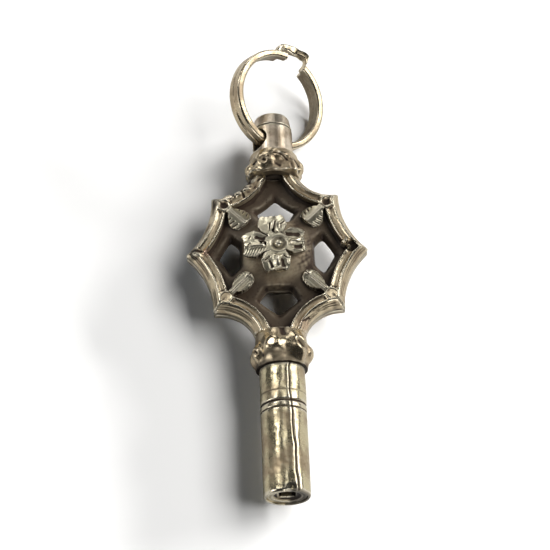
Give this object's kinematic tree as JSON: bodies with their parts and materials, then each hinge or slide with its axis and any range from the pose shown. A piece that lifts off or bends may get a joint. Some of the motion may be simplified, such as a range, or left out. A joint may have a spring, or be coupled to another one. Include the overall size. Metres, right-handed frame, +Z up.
{
  "type": "watch key",
  "caption": "Gilt fob watch key: openwork head with applied flower and leaves, carved knops, swivelling split ring and a winding barrel with a square socket.",
  "frame": {"origin": "on the table under the middle of the overall length, with the key lying on its back", "axes": "+Y along the key from barrel to ring, +Z up from the table, +X to the right seen from above with the ring away from the viewer"},
  "size_m": [0.0176, 0.048, 0.0075],
  "materials": {
    "gilt_head": "worn gilt with dark recesses",
    "gilt_ornament": "chased gilt",
    "gilt_knop": "carved gilt, worn",
    "gilt_barrel": "rolled gilt sheet, rubbed and dented",
    "gilt_post": "smooth gilt",
    "gilt_ring": "polished wire, worn",
    "pipe_steel": "dark steel"
  },
  "bodies": {
    "key": {"head_frame_front": "gilt_head", "head_frame_back": "gilt_head", "flower_front": "gilt_ornament", "flower_back": "gilt_ornament", "centre_rivet": "gilt_ornament", "leaf_front_upper_left": "gilt_ornament", "leaf_front_upper_right": "gilt_ornament", "leaf_front_lower_left": "gilt_ornament", "leaf_front_lower_right": "gilt_ornament", "leaf_back_upper_left": "gilt_ornament", "leaf_back_upper_right": "gilt_ornament", "leaf_back_lower_left": "gilt_ornament", "leaf_back_lower_right": "gilt_ornament", "upper_knop": "gilt_knop", "lower_knop": "gilt_knop", "barrel_sleeve": "gilt_barrel", "socket_pipe": "pipe_steel", "barrel_tang": "pipe_steel"},
    "swivel": {"swivel_post": "gilt_post", "post_cap": "gilt_post", "swivel_pin": "pipe_steel", "swivel_washer": "pipe_steel"},
    "ring": {"split_ring": "gilt_ring"}
  },
  "joints": [
    {"name": "swivel_turn", "type": "hinge", "parent": "key", "child": "swivel", "pos_m": [0, 0.01109, 0.00288], "axis": [0, 1, 0], "continuous": true},
    {"name": "ring_swing", "type": "hinge", "parent": "swivel", "child": "ring", "pos_m": [0, 0.01285, 0.00288], "axis": [0.8192, 0, -0.5736], "range_deg": [-138, 111]}
  ]
}
